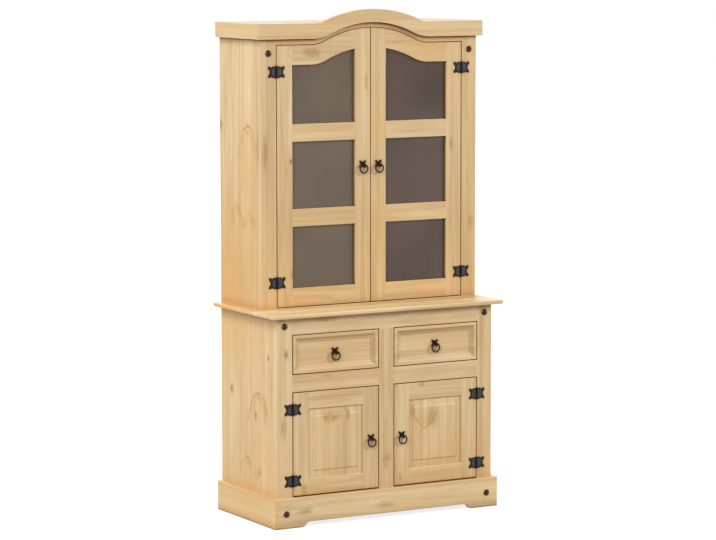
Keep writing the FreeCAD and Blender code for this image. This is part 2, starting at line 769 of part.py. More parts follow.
def make_pull(name, face, line, height):
    half = "plate_size / 2"
    plate = block(name + "_plate", (f"-({line}) - {half}", f"{half} - ({line})"),
                  (f"{face} - plate_thickness", face), (f"{height} - {half}", f"{height} + {half}"))
    reach = f"({half} - plate_scoop_depth + plate_scoop_radius)"
    start = f"{face} - plate_thickness - overrun"
    scoops = [rod(f"{name}_scoop_{place}", "2 * plate_scoop_radius", "plate_thickness + 2 * overrun",
                  (f"{across} * {reach} - ({line})", start, f"{height} + {up} * {reach}"), backwards)
              for place, (across, up) in enumerate(((1, 0), (-1, 0), (0, 1), (0, -1)))]
    claws = cut(name + "_claws", plate, *scoops)
    boss = rod(name + "_boss", "boss_diameter", "boss_height",
               (f"-({line})", f"{face} - plate_thickness - boss_height", height), backwards)
    left = f"-({line}) - eye_width / 2"
    neck = block(name + "_neck", (left, f"{left} + eye_width"),
                 (f"{face} - ring_standoff", f"{face} - plate_thickness"),
                 (f"{height} - eye_neck / 2", f"{height} + eye_neck / 2"))
    eye = rod(name + "_eye", "eye_diameter", "eye_width", (left, f"{face} - ring_standoff", height), rightwards)
    hole = rod(name + "_hole", "ring_wire + 2 * ring_clearance", "eye_width + 2 * overrun",
               (f"{left} - overrun", f"{face} - ring_standoff", height), rightwards)
    return cut(name, joined(name + "_blank", claws, boss, neck, eye), hole)


def make_ring(name, face, line, height):
    ring = doc.addObject("Part::Torus", name)
    bind(ring, "Radius1", "ring_radius")
    bind(ring, "Radius2", "ring_wire / 2")
    turned(ring, backwards)
    return put(ring, f"-({line})", f"{face} - ring_standoff", f"{height} - ring_radius")


def make_pulls():
    cases = (("upper_door", "upper", "upper_face", "glazed_pull_line", "glazed_pull_height"),
             ("lower_door", "lower", "base_face", "panelled_pull_line", "panelled_pull_height"),
             ("drawer", "drawer", "base_face + drawer_bevel_depth", "drawer_pull_line", "drawer_pull_height"))
    for leaf, level, face, line, height in cases:
        both_sides(lambda name: make_pull(name, face, line, height), f"{leaf}_left_pull", f"{leaf}_right_pull")
        both_sides(lambda name: make_ring(name, face, line, height),
                   f"{level}_ring_left", f"{level}_ring_right")


def make_dome_nails():
    # Six iron dome heads, each the cap of a ball
    ball = "((dome_diameter ^ 2 / 4 + dome_height ^ 2) / (2 * dome_height))"
    spots = (("plinth", "plinth_half - plinth_dome_inset", "plinth_face", "plinth_height - plinth_dome_drop"),
             ("base", "dome_line", "base_face", "worktop_underside - top_rail_dome_drop"),
             ("upper", "dome_line", "upper_face", "cabinet_height - upper_dome_drop"))
    domes = []
    for label, line, face, height in spots:
        dome = doc.addObject("Part::Sphere", label + "_dome")
        bind(dome, "Radius", ball)
        bind(dome, "Angle1", f"asin(({ball} - dome_height) / {ball})")
        turned(dome, -backwards)
        domes.append(put(dome, f"-({line})", f"{face} + {ball} - dome_height", height))
    left = group("left_domes", *domes)
    sub_part(group("dome_nails", left, mirrored(left, "right_domes")), "dome_nails")


def make_doors():
    both_sides(make_glazed_frame, "upper_door_left_frame", "upper_door_right_frame")
    both_sides(make_glass, "upper_door_left_glass", "upper_door_right_glass")
    both_sides(make_panelled_frame, "lower_door_left_frame", "lower_door_right_frame")
    both_sides(make_raised_panel, "lower_door_left_panel", "lower_door_right_panel")
    for level in hinge_places:
        both_sides(lambda name: make_door_leaves(name, level),
                   f"{level}_door_left_hinges", f"{level}_door_right_hinges")


def make_drawers():
    both_sides(make_drawer_front, "drawer_left_front", "drawer_right_front")
    both_sides(make_drawer_box, "drawer_left_box", "drawer_right_box")


def check_and_export():
    doc.recompute()
    for item in doc.Objects:
        if "Invalid" in item.State or "Error" in item.State:
            raise RuntimeError(f"{item.Label} did not rebuild: {item.State}")
    os.makedirs("parts", exist_ok=True)
    for item in sub_parts:
        if item.Shape.isNull() or not item.Shape.isValid():
            raise RuntimeError(f"{item.Label} has no valid shape")
    for item in sub_parts:
        item.Shape.exportStep(f"parts/{item.Label}.step")
        print(item.Label, len(item.Shape.Solids), round(item.Shape.Volume))


fill_sheet()
make_base_sides()
make_base_frame()
make_base_inside()
make_drawer_runners()
make_worktop()
make_plinth()
make_upper_sides()
make_upper_boards()
make_arch_rail()
make_cornice()
make_shelf_pins()
make_doors()
make_drawers()
make_post_hinges()
make_pulls()
make_dome_nails()
check_and_export()
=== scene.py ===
import bmesh
import bpy
import json
import random
from math import pi, radians
from mathutils import Matrix, Vector


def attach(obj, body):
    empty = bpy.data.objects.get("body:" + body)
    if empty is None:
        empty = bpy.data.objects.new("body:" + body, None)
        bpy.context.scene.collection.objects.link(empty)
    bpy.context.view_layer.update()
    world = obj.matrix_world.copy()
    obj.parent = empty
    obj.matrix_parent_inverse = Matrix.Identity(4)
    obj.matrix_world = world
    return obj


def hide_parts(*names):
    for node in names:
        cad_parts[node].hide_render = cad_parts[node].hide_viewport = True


# Pine display cabinet: boards with eased edges and real grain, smoked panes, blackened iron hardware

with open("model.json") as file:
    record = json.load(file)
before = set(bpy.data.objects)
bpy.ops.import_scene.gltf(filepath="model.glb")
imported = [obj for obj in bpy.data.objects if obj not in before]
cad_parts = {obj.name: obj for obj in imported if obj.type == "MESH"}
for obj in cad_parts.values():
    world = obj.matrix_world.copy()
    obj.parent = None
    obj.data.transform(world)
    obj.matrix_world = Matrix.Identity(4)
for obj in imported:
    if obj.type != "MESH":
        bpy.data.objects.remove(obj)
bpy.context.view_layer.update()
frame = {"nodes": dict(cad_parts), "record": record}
nodes = frame["nodes"]
bodies = frame["record"]["behaviour"]["bodies"]
bodyOf = {node: body for body, held in bodies.items() for node in held}
slotOf = {part["node"]: part["material_slot"] for part in frame["record"]["subparts"]}
print("cabinet loaded,", len(nodes), "nodes")


def linear(hexColour):
    # sRGB hex to the linear colour that a shader takes
    channels = [int(hexColour[place:place + 2], 16) / 255 for place in (0, 2, 4)]
    return [c / 12.92 if c <= 0.04045 else ((c + 0.055) / 1.055) ** 2.4 for c in channels] + [1]


def addNode(tree, kind, inputs=None, **settings):
    # A node given as an input stands for its first output
    node = tree.nodes.new("ShaderNode" + kind)
    for name, value in settings.items():
        setattr(node, name, value)
    for socket, value in (inputs or {}).items():
        if isinstance(value, bpy.types.Node):
            value = value.outputs[0]
        if isinstance(value, bpy.types.NodeSocket):
            tree.links.new(value, node.inputs[socket])
        else:
            node.inputs[socket].default_value = value
    return node


def newMaterial(name):
    material = bpy.data.materials.new(name)
    material.use_nodes = True
    material.node_tree.nodes.clear()
    return material, material.node_tree


# Pine

pine = {
    "earlywood": "EBD2A6",
    "latewood": "B99560",
    "warmPatch": "DCB071",
    "knot": "5E3C22",
    "knotRim": "A97842",
    # The joint colour stands for old wax and painted shade; the corner reach and share are painted shade alone
    "jointWaxAndShade": "A87C44",
    "footDarkening": "F4EBD9",
    "darkerIsWarmer": (0.65, 1.0, 1.4),
    "ringSpacing": 0.010,
    "ringSway": 0.016,
    "ringShare": 0.34,
    "ringStops": ((0.3, 0.0), (0.72, 0.45), (0.9, 1.0)),
    "ringEnd": 0.25,
    "swayScale": (3.5, 16, 16),
    "fibreScale": (7, 420, 420),
    "fibreShare": 0.06,
    "streakScale": (1.3, 46, 46),
    "streakShare": 0.42,
    "bandScale": (0.7, 15, 15),
    "bandShare": (-0.06, 0.24),
    "knotScale": (2.6, 6.5, 6.5),
    "knotShare": 0.05,
    "knotSize": (0.004, 0.005),
    "knotLength": 0.6,
    "rimShare": 0.55,
    "heartShare": 0.5,
    "swirlTurn": 0.8,
    "swirlShare": 0.46,
    "patchSize": 3.2,
    "patchShare": 0.75,
    "jointWaxAndShadeReach": 0.008,
    "cornerShadeReach": 0.045,
    "cornerShadeShare": 0.45,
    "reliefStrength": 0.12,
    "reliefHeight": 0.0004,
    "satin": (0.42, 0.56),
    "dusty": (0.80, 0.92),
    "dustSheen": 0.9,
    "sheenRoughness": 0.25,
}

# Knots with a dark heart: place and radius
darkKnots = [
    ((-0.467, 0.157, 0.480), 0.0060),
    ((-0.467, 0.238, 1.479), 0.0065),
    ((-0.429, -0.211, 0.651), 0.0045),
    ((-0.341, -0.091, 1.357), 0.0035),
]

# Swirls where the grain runs round a knot that stays under the face: place and reach along x, y and z
paleSwirls = [
    ((-0.253, -0.091, 1.757), (0.030, 0.02, 0.016)),
    ((-0.019, -0.091, 1.646), (0.009, 0.02, 0.026)),
    ((0.355, -0.091, 1.401), (0.008, 0.02, 0.022)),
    ((0.445, -0.091, 1.095), (0.012, 0.02, 0.028)),
    ((-0.257, -0.211, 0.775), (0.040, 0.02, 0.010)),
    ((-0.440, -0.211, 0.378), (0.011, 0.02, 0.040)),
    ((-0.232, -0.205, 0.405), (0.036, 0.02, 0.020)),
    ((0.204, -0.205, 0.372), (0.026, 0.02, 0.040)),
    ((0.002, -0.211, 0.225), (0.016, 0.02, 0.024)),
    ((0.061, -0.211, 0.143), (0.010, 0.02, 0.024)),
    ((-0.350, -0.211, 0.137), (0.012, 0.02, 0.018)),
    ((-0.014, -0.227, 0.052), (0.034, 0.02, 0.016)),
    ((-0.359, -0.227, 0.058), (0.030, 0.02, 0.010)),
    ((-0.254, -0.211, 0.560), (0.014, 0.02, 0.008)),
    ((0.156, -0.211, 0.498), (0.012, 0.02, 0.007)),
    ((-0.467, -0.066, 1.405), (0.02, 0.010, 0.050)),
    ((-0.449, -0.091, 1.392), (0.011, 0.02, 0.060)),
    ((-0.167, -0.205, 0.412), (0.008, 0.02, 0.024)),
    ((0.116, -0.205, 0.395), (0.008, 0.02, 0.022)),
    ((-0.467, -0.030, 1.130), (0.02, 0.012, 0.020)),
    ((-0.467, 0.135, 1.125), (0.02, 0.010, 0.018)),
    ((-0.467, -0.118, 0.425), (0.02, 0.012, 0.050)),
    ((-0.467, -0.064, 0.195), (0.02, 0.012, 0.022)),
]

# Bowed late-wood lines of the flat-sawn boards: tip, way of the legs, how tightly they bend, how far they go
side, front = (0, 1, 0), (1, 0, 0)
grainArches = [
    {"tip": (-0.467, 0.014, 1.488), "across": side, "way": -1, "bend": 17, "reach": 0.16},
    {"tip": (-0.467, 0.112, 1.196), "across": side, "way": -1, "bend": 36, "reach": 0.10},
    {"tip": (-0.467, 0.052, 1.108), "across": side, "way": 1, "bend": 50, "reach": 0.05},
    {"tip": (-0.467, 0.008, 1.166), "across": side, "way": -1, "bend": 80, "reach": 0.07},
    {"tip": (-0.467, -0.066, 0.492), "across": side, "way": -1, "bend": 13, "reach": 0.14},
    {"tip": (-0.467, 0.036, 0.236), "across": side, "way": -1, "bend": 17, "reach": 0.08},
    {"tip": (-0.467, -0.046, 0.160), "across": side, "way": 1, "bend": 26, "reach": 0.06},
    {"tip": (0.172, -0.205, 0.330), "across": front, "way": 1, "bend": 24, "reach": 0.075},
    {"tip": (-0.244, -0.205, 0.384), "across": front, "way": 1, "bend": 42, "reach": 0.05},
]
archLook = {
    "ring": 0.024,
    "between": 0.3,
    "edge": (-0.009, 0.002),
    "width": (0.003, 0.046),
    "legFade": 0.2,
    "faceDepth": 0.016,
    "wobble": 0.015,
    "breaks": 28.0,
    "share": 0.95,
}

# Where the wood is warmer: place, reach and strength
warmZones = [
    ((-0.467, 0.18, 0.86), (0.2, 0.34, 0.44), 0.95),
    ((-0.467, 0.04, 0.17), (0.05, 0.34, 0.2), 0.3),
    ((-0.480, 0.0, 0.055), (0.04, 0.5, 0.2), 0.7),
    ((-0.300, -0.211, 0.13), (0.12, 0.1, 0.05), 0.30),
    ((0.120, -0.211, 0.13), (0.09, 0.1, 0.05), 0.30),
]

# Each case is darker towards its foot: foot and head height, and how much at the foot
darkerTowardsFootCases = [(0.8035, 1.80, 0.9), (0.10, 0.7865, 0.5)]

# Ledges kept free of wax and of painted shade: the worktop, and the plinth's top except before the doors
# (middle and half span)
ledges = {
    "worktopHeight": (0.803, 0.006),
    "plinthHeight": (0.114, 0.008),
    "doorAside": (0.217, 0.183),
    "sparedShare": 0.85,
}


def distanceFrom(tree, place, spot, scale):
    # How far a place is from a spot, stretched by a scale along x, y and z
    away = addNode(tree, "VectorMath", {0: place, 1: spot}, operation="SUBTRACT")
    scaled = addNode(tree, "VectorMath", {0: away, 1: scale}, operation="MULTIPLY")
    return addNode(tree, "VectorMath", {0: scaled}, operation="LENGTH").outputs["Value"]


def addArch(tree, place, arch):
    # Soft rings nested under the bowed line, fading inwards, down its legs and away from its face
    bend = arch["bend"]
    outward = (arch["across"][1], arch["across"][0], 0)
    away = addNode(tree, "VectorMath", {0: place, 1: arch["tip"]}, operation="SUBTRACT")
    aside, along, deep = [
        addNode(tree, "VectorMath", {0: away, 1: way}, operation="DOT_PRODUCT").outputs["Value"]
        for way in (arch["across"], (0, 0, arch["way"]), outward)]
    bow = addNode(tree, "Math", {0: aside, 1: aside}, operation="MULTIPLY")
    inward = addNode(tree, "Math", {0: bow, 1: -bend, 2: along}, operation="MULTIPLY_ADD")
    slope = addNode(tree, "Math", {0: bow, 1: 4 * bend * bend, 2: 1.0}, operation="MULTIPLY_ADD")
    slope = addNode(tree, "Math", {0: slope}, operation="SQRT")
    inward = addNode(tree, "Math", {0: inward, 1: slope}, operation="DIVIDE")
    turns = addNode(tree, "Math", {0: inward, 1: 2 * pi / archLook["ring"]}, operation="MULTIPLY")
    wave = addNode(tree, "Math", {0: turns}, operation="COSINE")
    line = addNode(tree, "MapRange", {
        "Value": wave, "From Min": -1.0, "From Max": 0.8, "To Min": archLook["between"], "To Max": 1.0})
    edge = addNode(tree, "MapRange", {
        "Value": inward, "From Min": archLook["edge"][0], "From Max": archLook["edge"][1],
        "To Min": 0.0, "To Max": 1.0}, interpolation_type="SMOOTHSTEP")
    depth = addNode(tree, "MapRange", {
        "Value": inward, "From Min": archLook["width"][0], "From Max": archLook["width"][1],
        "To Min": 1.0, "To Max": 0.0}, interpolation_type="SMOOTHSTEP")
    fade = addNode(tree, "MapRange", {
        "Value": along, "From Min": archLook["legFade"] * arch["reach"], "From Max": arch["reach"],
        "To Min": 1.0, "To Max": 0.0})
    for part in (edge, depth, fade):
        line = addNode(tree, "Math", {0: line, 1: part}, operation="MULTIPLY")
    onFace = addNode(tree, "Math", {0: deep, 1: 0.0, 2: archLook["faceDepth"]}, operation="COMPARE")
    return addNode(tree, "Math", {0: line, 1: onFace}, operation="MULTIPLY")


def addKnots(tree, grain, place):
    # Distance to the nearest knot, in its radii: a few cells stretched along the grain, and the dark ones
    lengthways, sideways = pine["knotScale"][:2]
    least, spread = pine["knotSize"]
    knotSpace = addNode(tree, "VectorMath", {0: grain, 1: pine["knotScale"]}, operation="MULTIPLY")
    cells = addNode(tree, "TexVoronoi", {"Vector": knotSpace, "Scale": 1.0, "Randomness": 0.7})
    knotAway = distanceFrom(
        tree, knotSpace, cells.outputs["Position"], (pine["knotLength"] / lengthways, 1 / sideways, 0))
    chance = addNode(tree, "SeparateColor", {0: cells.outputs["Color"]})
    isPlain = addNode(tree, "Math", {0: chance.outputs[0], 1: pine["knotShare"]}, operation="GREATER_THAN")
    knotSize = addNode(tree, "Math", {0: chance.outputs[1], 1: spread, 2: least}, operation="MULTIPLY_ADD")
    knotRatio = addNode(tree, "Math", {0: knotAway, 1: knotSize}, operation="DIVIDE")
    nearest = addNode(tree, "Math", {0: isPlain, 1: 100.0, 2: knotRatio}, operation="MULTIPLY_ADD")
    for spot, size in darkKnots:
        ratio = distanceFrom(tree, place, spot, (1 / size, 1 / size, pine["knotLength"] / size))
        nearest = addNode(tree, "Math", {0: nearest, 1: ratio}, operation="MINIMUM")
    return nearest


def addSwirls(tree, place, nearest):
    # Distance to the nearest swirl or knot in its own reach
    swirl = addNode(tree, "Math", {0: nearest, 1: 0.4}, operation="MULTIPLY")
    for spot, reach in paleSwirls:
        ratio = distanceFrom(tree, place, spot, [1 / size for size in reach])
        swirl = addNode(tree, "Math", {0: swirl, 1: ratio}, operation="MINIMUM")
    return swirl


def addRings(tree, grain, turned, figure):
    # Growth rings: distance from the tree's own middle line, swayed, uneven and turned aside by a swirl
    sway = pine["ringSway"]
    swaySpace = addNode(tree, "VectorMath", {0: grain, 1: pine["swayScale"]}, operation="MULTIPLY")
    noise = addNode(tree, "TexNoise", {"Vector": swaySpace, "Scale": 1.0, "Detail": 2.0, "Roughness": 0.45})
    step = addNode(tree, "VectorMath", {
        0: noise.outputs["Color"], 1: (0.5, 0.5, 0.5)}, operation="SUBTRACT")
    swayed = addNode(tree, "VectorMath", {0: step, 1: (0, sway, sway), 2: grain}, operation="MULTIPLY_ADD")
    flat = addNode(tree, "VectorMath", {0: swayed, 1: (0, 1, 1)}, operation="MULTIPLY")
    radius = addNode(tree, "VectorMath", {0: flat}, operation="LENGTH").outputs["Value"]
    uneven = addNode(tree, "TexNoise", {"W": radius, "Scale": 70.0, "Detail": 1.0}, noise_dimensions="1D")
    count = addNode(tree, "Math", {
        0: radius, 1: 1 / pine["ringSpacing"], 2: uneven}, operation="MULTIPLY_ADD")
    count = addNode(tree, "Math", {0: turned, 1: pine["swirlTurn"], 2: count}, operation="MULTIPLY_ADD")
    ring = addNode(tree, "Math", {0: count}, operation="FRACT")
    line = addNode(tree, "ValToRGB", {0: ring})
    stops, end = line.color_ramp.elements, pine["ringEnd"]
    stops[0].position, stops[0].color = 0.0, (end, end, end, 1)
    stops[1].position, stops[1].color = 1.0, (end, end, end, 1)
    for position, level in pine["ringStops"]:
        stops.new(position).color = (level, level, level, 1)
    depth = addNode(tree, "TexNoise", {"W": radius, "Scale": 210.0, "Detail": 1.0}, noise_dimensions="1D")
    depth = addNode(tree, "MapRange", {
        "Value": depth, "From Min": 0.3, "From Max": 0.7, "To Min": 0.25, "To Max": 1.0})
    line = addNode(tree, "Math", {0: line, 1: depth}, operation="MULTIPLY")
    boldness = addNode(tree, "Math", {0: turned, 1: 0.5, 2: figure}, operation="MULTIPLY_ADD")
    return addNode(tree, "Math", {0: line, 1: boldness}, operation="MULTIPLY")


def addStreaks(tree, grain, place, drift, swirl):
    # Streaks and broad bands along the grain, the darker clouds of the swirls, and the arches
    streakSpace = addNode(tree, "VectorMath", {0: grain, 1: pine["streakScale"]}, operation="MULTIPLY")
    streak = addNode(tree, "TexNoise", {
        "Vector": streakSpace, "Scale": 1.0, "Detail": 3.0, "Roughness": 0.55})
    streak = addNode(tree, "MapRange", {
        "Value": streak, "From Min": 0.32, "From Max": 0.68, "To Min": 0.0, "To Max": pine["streakShare"]})
    bandSpace = addNode(tree, "VectorMath", {0: grain, 1: pine["bandScale"]}, operation="MULTIPLY")
    band = addNode(tree, "TexNoise", {"Vector": bandSpace, "Scale": 1.0, "Detail": 1.0, "Distortion": 0.4})
    band = addNode(tree, "MapRange", {
        "Value": band, "From Min": 0.36, "From Max": 0.64,
        "To Min": pine["bandShare"][0], "To Max": pine["bandShare"][1]})
    streak = addNode(tree, "Math", {0: streak, 1: band}, operation="ADD")
    cloud = addNode(tree, "MapRange", {
        "Value": swirl, "From Min": 0.2, "From Max": 1.7, "To Min": pine["swirlShare"], "To Max": 0.0},
        interpolation_type="SMOOTHSTEP")
    streak = addNode(tree, "Math", {0: streak, 1: cloud}, operation="ADD")
    lines = addArch(tree, drift, grainArches[0])
    for arch in grainArches[1:]:
        line = addArch(tree, drift, arch)
        lines = addNode(tree, "Math", {0: lines, 1: line}, operation="MAXIMUM")
    broken = addNode(tree, "TexNoise", {
        "Vector": place, "Scale": archLook["breaks"], "Detail": 2.0, "Roughness": 0.6})
    broken = addNode(tree, "MapRange", {
        "Value": broken, "From Min": 0.38, "From Max": 0.62, "To Min": 0.15, "To Max": 1.0})
    lines = addNode(tree, "Math", {0: lines, 1: broken}, operation="MULTIPLY")
    return addNode(tree, "Math", {0: lines, 1: archLook["share"], 2: streak}, operation="MULTIPLY_ADD")


def addWarmth(tree, place, warmth):
    # Broad warm patches, more on some boards than on others, and the warm zones
    patch = addNode(tree, "TexNoise", {
        "Vector": place, "Scale": pine["patchSize"], "Detail": 2.0, "Roughness": 0.5})
    patch = addNode(tree, "MapRange", {
        "Value": patch, "From Min": 0.4, "From Max": 0.65, "To Min": 0.0, "To Max": pine["patchShare"]})
    patch = addNode(tree, "Math", {0: patch, 1: warmth}, operation="MULTIPLY")
    for spot, reach, strength in warmZones:
        ratio = distanceFrom(tree, place, spot, [1 / size for size in reach])
        zone = addNode(tree, "MapRange", {
            "Value": ratio, "From Min": 0.1, "From Max": 1.2, "To Min": strength, "To Max": 0.0},
            interpolation_type="SMOOTHSTEP")
        patch = addNode(tree, "Math", {0: patch, 1: zone}, operation="MAXIMUM")
    return patch


def addWaxAndShadeAllowed(tree, place, height):
    # How much wax and painted shade can gather at a height: all of it, or hardly any on the ledges
    (worktop, thick), (plinth, thin) = ledges["worktopHeight"], ledges["plinthHeight"]
    door, half = ledges["doorAside"]
    ledge = addNode(tree, "Math", {0: height, 1: worktop, 2: thick}, operation="COMPARE")
    sideways = addNode(tree, "Math", {
        0: addNode(tree, "SeparateXYZ", {0: place})}, operation="ABSOLUTE")
    atDoor = addNode(tree, "Math", {0: sideways, 1: door, 2: half}, operation="COMPARE")
    atPlinth = addNode(tree, "Math", {0: height, 1: plinth, 2: thin}, operation="COMPARE")
    atPlinth = addNode(tree, "Math", {0: atPlinth, 1: atDoor}, operation="SUBTRACT", use_clamp=True)
    ledge = addNode(tree, "Math", {0: ledge, 1: atPlinth}, operation="MAXIMUM")
    return addNode(tree, "Math", {0: ledge, 1: -ledges["sparedShare"], 2: 1.0}, operation="MULTIPLY_ADD")


def makeWaxedPine(name, satin, dust=0.0):
    # Slow-grown pine, planed, sanded and waxed: pale early wood, soft late-wood lines, small knots, satin
    material, tree = newMaterial(name)
    grain = addNode(tree, "Attribute", attribute_name="grain").outputs["Vector"]
    board = addNode(tree, "Attribute", attribute_name="board").outputs["Vector"]
    tone, warmth, figure = addNode(tree, "SeparateXYZ", {0: board}).outputs
    place = addNode(tree, "TexCoord").outputs["Object"]
    height = addNode(tree, "SeparateXYZ", {0: place}).outputs[2]

    # What stands at a place of its own is shaken a little, so that no outline is drawn with a compass
    wobble = archLook["wobble"]
    tremble = addNode(tree, "TexNoise", {"Vector": place, "Scale": 30.0, "Detail": 2.0, "Roughness": 0.6})
    tremble = addNode(tree, "VectorMath", {
        0: tremble.outputs["Color"], 1: (0.5, 0.5, 0.5)}, operation="SUBTRACT")
    drift = addNode(tree, "VectorMath", {
        0: tremble, 1: (wobble, wobble, 2 * wobble), 2: place}, operation="MULTIPLY_ADD")

    nearest = addKnots(tree, grain, place)
    swirl = addSwirls(tree, drift, nearest)
    turned = addNode(tree, "MapRange", {
        "Value": swirl, "From Min": 0.0, "From Max": 2.0, "To Min": 1.0, "To Max": 0.0},
        interpolation_type="SMOOTHERSTEP")
    rings = addRings(tree, grain, turned, figure)
    streaks = addStreaks(tree, grain, place, drift, swirl)
    fibreSpace = addNode(tree, "VectorMath", {0: grain, 1: pine["fibreScale"]}, operation="MULTIPLY")
    fibre = addNode(tree, "TexNoise", {"Vector": fibreSpace, "Scale": 1.0, "Detail": 2.0, "Roughness": 0.6})
    fibreTone = addNode(tree, "MapRange", {
        "Value": fibre, "From Min": 0.3, "From Max": 0.7,
        "To Min": -pine["fibreShare"], "To Max": pine["fibreShare"]})
    darkness = addNode(tree, "Math", {
        0: rings, 1: pine["ringShare"], 2: streaks}, operation="MULTIPLY_ADD")
    darkness = addNode(tree, "Math", {0: darkness, 1: fibreTone}, operation="ADD", use_clamp=True)
    wood = addNode(tree, "MixRGB", {
        0: darkness, 1: linear(pine["earlywood"]), 2: linear(pine["latewood"])})
    patch = addWarmth(tree, place, warmth)
    wood = addNode(tree, "MixRGB", {0: patch, 1: wood, 2: linear(pine["warmPatch"])})

    # A knot: brown rim, then the dark heart
    for (near, far), share, colour in (((0.7, 2.4), "rimShare", "knotRim"),
                                       ((0.1, 1.3), "heartShare", "knot")):
        inKnot = addNode(tree, "MapRange", {
            "Value": nearest, "From Min": near, "From Max": far, "To Min": 1.0, "To Max": 0.0},
            interpolation_type="SMOOTHSTEP")
        inKnot = addNode(tree, "Math", {0: inKnot, 1: pine[share]}, operation="MULTIPLY")
        wood = addNode(tree, "MixRGB", {0: inKnot, 1: wood, 2: linear(pine[colour])})

    # The board's own tone, which carries the painted shade and light of the slopes, and darker towards the
    # foot of each case
    tint = addNode(tree, "VectorMath", {0: tone, 1: pine["darkerIsWarmer"]}, operation="POWER")
    wood = addNode(tree, "VectorMath", {0: wood, 1: tint}, operation="MULTIPLY")
    for foot, head, most in darkerTowardsFootCases:
        footDarkening = addNode(tree, "MapRange", {
            "Value": height, "From Min": foot, "From Max": head, "To Min": most, "To Max": 0.0})
        inCase = addNode(tree, "Math", {
            0: height, 1: (foot + head) / 2, 2: (head - foot) / 2}, operation="COMPARE")
        footDarkening = addNode(tree, "Math", {0: footDarkening, 1: inCase}, operation="MULTIPLY")
        wood = addNode(tree, "MixRGB", {0: footDarkening, 1: wood, 2: linear(pine["footDarkening"])}, blend_type="MULTIPLY")

    # Old wax and dust, with painted shade where ambient occlusion finds it, darken the joints and the gaps;
    # painted shade alone darkens the corners more faintly
    keepsWaxAndShade = addNode(tree, "Attribute", attribute_name="keepsWaxAndShade").outputs["Fac"]
    waxAndShadeAllowed = addWaxAndShadeAllowed(tree, place, height)
    gathered = []
    for reach, (closed, clear), most in ((pine["jointWaxAndShadeReach"], (0.70, 0.985), 1.0),
                                         (pine["cornerShadeReach"], (0.5, 0.95), pine["cornerShadeShare"])):
        waxAndShade = addNode(tree, "AmbientOcclusion", {"Distance": reach}, samples=8).outputs["AO"]
        waxAndShade = addNode(tree, "MapRange", {
            "Value": waxAndShade, "From Min": closed, "From Max": clear, "To Min": most, "To Max": 0.0})
        waxAndShade = addNode(tree, "Math", {0: waxAndShade, 1: keepsWaxAndShade}, operation="MULTIPLY")
        gathered.append(addNode(tree, "Math", {0: waxAndShade, 1: waxAndShadeAllowed}, operation="MULTIPLY"))
    waxedAndShaded, corner = gathered
    stainedAndShaded = addNode(tree, "MixRGB", {
        0: 1.0, 1: wood, 2: linear(pine["jointWaxAndShade"])}, blend_type="MULTIPLY")
    shaded = addNode(tree, "Math", {0: waxedAndShaded, 1: corner}, operation="MAXIMUM")
    wood = addNode(tree, "MixRGB", {0: shaded, 1: wood, 2: stainedAndShaded})

    # The sheen of the wax, dull in the joints where the wax and the painted shade gather
    gloss = addNode(tree, "MapRange", {
        "Value": fibre, "From Min": 0.3, "From Max": 0.7, "To Min": satin[0], "To Max": satin[1]})
    shine = addNode(tree, "Math", {0: waxedAndShaded, 1: -0.5, 2: 0.5}, operation="MULTIPLY_ADD")
    relief = addNode(tree, "Math", {0: rings, 1: 0.6, 2: fibre}, operation="MULTIPLY_ADD")
    bump = addNode(tree, "Bump", {
        "Height": relief, "Strength": pine["reliefStrength"], "Distance": pine["reliefHeight"]})
    surface = addNode(tree, "BsdfPrincipled", {
        "Base Color": wood, "Roughness": gloss, "Specular IOR Level": shine, "Normal": bump,
        "Sheen Weight": dust, "Sheen Roughness": pine["sheenRoughness"]})
    addNode(tree, "OutputMaterial", {"Surface": surface})
    return material


waxedPine = makeWaxedPine("waxedPine", pine["satin"])
# On top it is matt, under dust that looks pale at a low angle
dustyPine = makeWaxedPine("dustyPine", pine["dusty"], pine["dustSheen"])

boardCut = {
    "edgeRadius": 0.0022,
    "thinShare": 0.12,
    "roundedSteps": 2,
    "flatTurn": radians(0.4),
    "easedTurn": radians(24),
    "crispTurn": radians(19),
    "broadShare": 12,
    "staveWidth": (0.085, 0.135),
    "staveShare": (0.8, 1.2),
    "widestBoard": 0.16,
    "treePlace": (5, 60),
    "pithDepth": (0.018, 0.075),
    "pithOffset": 0.35,
    "tilt": 0.05,
    "slant": 0.01,
    "tone": (0.97, 1.025),
    "figure": (0.5, 1.0),
    "panelMargin": 0.003,
}

# Corners nearer than the first are one, and boards nearer than the second touch
weldReach, touchReach = 1e-6, 1e-4

# Painted shade and light on the slopes of a drawer, at the rim and at the field, and on the eased edges round
# a door's panel: darker where they look down, lighter where they look up, and at the sides darker on a drawer
# and lighter round a panel
slopeTilt = (0.2, 0.985)
slopePaintedShade = {"sides": (0.70, 0.90), "top": (0.50, 0.94), "foot": (1.10, 1.0)}
shoulderPaintedShade = {"sides": (1.16, 1.16), "top": (0.55, 0.55), "foot": (1.12, 1.12)}

# Where the grain doesn't run along the longest side: 0 for x, 1 for y, 2 for z
grainAlong = {"lower_back": 2}

